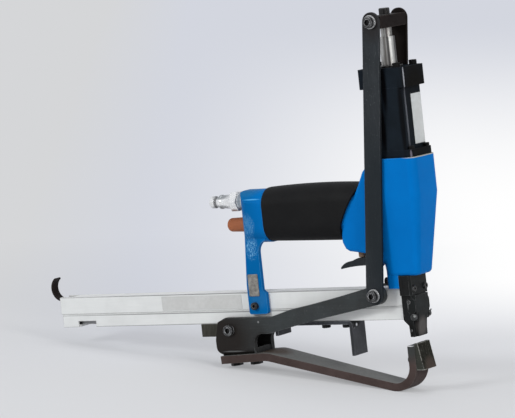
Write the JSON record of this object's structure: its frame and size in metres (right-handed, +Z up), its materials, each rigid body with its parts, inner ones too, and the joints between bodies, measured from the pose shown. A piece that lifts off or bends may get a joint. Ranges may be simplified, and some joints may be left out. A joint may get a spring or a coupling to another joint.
{
  "type": "pneumatic stapler",
  "caption": "Hand-held air stapler with a long magazine and a clamp cylinder whose links swing an anvil arm up to the nose to clinch staples.",
  "frame": {"origin": "middle of the footprint of the standing tool, on the floor under the toe and heel of the anvil arm", "axes": "+X towards the nose, +Y to the left of a user, +Z up from the floor"},
  "size_m": [0.4136, 0.0604, 0.3379],
  "materials": {
    "blue_casting": "glossy blue paint over a light-metal casting",
    "grip_rubber": "matte black moulded rubber",
    "black_aluminium": "black anodised",
    "black_steel": "satin dark blackened steel",
    "forged_bar": "brown-black oiled bar steel",
    "nose_steel": "black oxide",
    "black_fasteners": "black oxide, rubbed on the edges",
    "magazine_metal": "pale satin",
    "bright_steel": "ground steel",
    "tool_steel": "ground steel",
    "nickel": "bright nickel plate",
    "bronze": "sintered bronze",
    "piston_aluminium": "machined",
    "seal_rubber": "moulded",
    "valve_plastic": "moulded",
    "label_stock": "blank label"
  },
  "bodies": {
    "tool": {"housing": "blue_casting", "grip_sleeve": "grip_rubber", "leg_plate": "label_stock", "case_screws": "black_fasteners", "air_plug": "nickel", "silencer": "bronze", "cylinder_liner": "bright_steel", "drive_bumper": "seal_rubber", "clamp_base": "black_aluminium", "base_screws": "black_fasteners", "clamp_barrel": "black_aluminium", "clamp_cover": "black_aluminium", "clamp_screws": "black_fasteners", "clamp_label": "label_stock", "rod_bush": "bronze", "pivot_block": "piston_aluminium", "pivot_screws": "black_fasteners", "under_screws": "black_fasteners", "stop_plate": "black_steel", "magazine_rail": "magazine_metal", "magazine_cover": "magazine_metal", "magazine_label": "label_stock", "staple_rail": "tool_steel", "magazine_end": "magazine_metal", "latch_pin": "bright_steel", "trigger_pin": "bright_steel", "valve_body": "valve_plastic", "nose_body": "nose_steel", "nose_cover": "nose_steel", "nose_screws": "black_fasteners", "nose_door": "nose_steel", "nose_rollers": "bright_steel", "nose_pins": "bright_steel", "nose_hook": "bright_steel"},
    "lever": {"lever": "black_steel", "anvil_arm": "forged_bar", "arm_bolts": "black_fasteners", "anvil_pad": "forged_bar", "pad_screws": "black_fasteners", "low_screws": "black_fasteners", "low_washers": "black_fasteners"},
    "crosshead": {"clamp_piston": "piston_aluminium", "clamp_rod": "bright_steel", "crosshead": "black_steel", "crosshead_screw": "black_fasteners", "top_screws": "black_fasteners", "top_washers": "black_fasteners"},
    "links": {"link_right": "black_steel", "link_left": "black_steel"},
    "driver": {"drive_piston": "piston_aluminium", "piston_ring": "seal_rubber", "driver_blade": "tool_steel", "blade_pin": "bright_steel"},
    "trigger": {"trigger": "black_steel"},
    "valve": {"valve_stem": "valve_plastic"},
    "pusher": {"pusher": "tool_steel", "pusher_roll": "tool_steel", "roll_pin": "bright_steel"},
    "latch": {"rear_latch": "black_steel"}
  },
  "joints": [
    {"name": "lever_swing", "type": "hinge", "parent": "tool", "child": "lever", "pos_m": [0.00412, 0, 0.03623], "axis": [0, -1, 0], "range_deg": [0, 1.6], "stiffness_Nm_per_rad": 10, "springref_deg": -28.65},
    {"name": "crosshead_slide", "type": "slide", "parent": "tool", "child": "crosshead", "axis": [-0.13, 0, 0.9915], "range_m": [0, 0.00448]},
    {"name": "link_swing", "type": "hinge", "parent": "crosshead", "child": "links", "pos_m": [0.1576, 0, 0.32725], "axis": [0, 1, 0], "range_deg": [0, 0.2082]},
    {"name": "trigger_pull", "type": "hinge", "parent": "tool", "child": "trigger", "pos_m": [0.15536, 0, 0.11355], "axis": [0, 1, 0], "range_deg": [0, 8], "stiffness_Nm_per_rad": 0.6, "springref_deg": -8.59},
    {"name": "valve_lift", "type": "slide", "parent": "tool", "child": "valve", "axis": [-0.13, 0, 0.9915], "range_m": [0, 0.0026]},
    {"name": "driver_stroke", "type": "slide", "parent": "tool", "child": "driver", "axis": [0.13, 0, -0.9915], "range_m": [0, 0.03], "stiffness_N_per_m": 60, "springref_m": -0.06},
    {"name": "pusher_slide", "type": "slide", "parent": "tool", "child": "pusher", "axis": [-0.9915, 0, -0.13], "range_m": [0, 0.32], "stiffness_N_per_m": 12, "springref_m": -0.3},
    {"name": "latch_release", "type": "hinge", "parent": "tool", "child": "latch", "pos_m": [-0.18488, 0, 0.03929], "axis": [0, 1, 0], "range_deg": [0, 15], "stiffness_Nm_per_rad": 0.2, "springref_deg": -17.19}
  ],
  "couplings": [
    {"joint": "crosshead_slide", "follows": "lever_swing", "m_per_rad": 0.16047},
    {"joint": "link_swing", "follows": "lever_swing", "ratio": 0.13015},
    {"joint": "valve_lift", "follows": "trigger_pull", "m_per_rad": 0.0186}
  ]
}
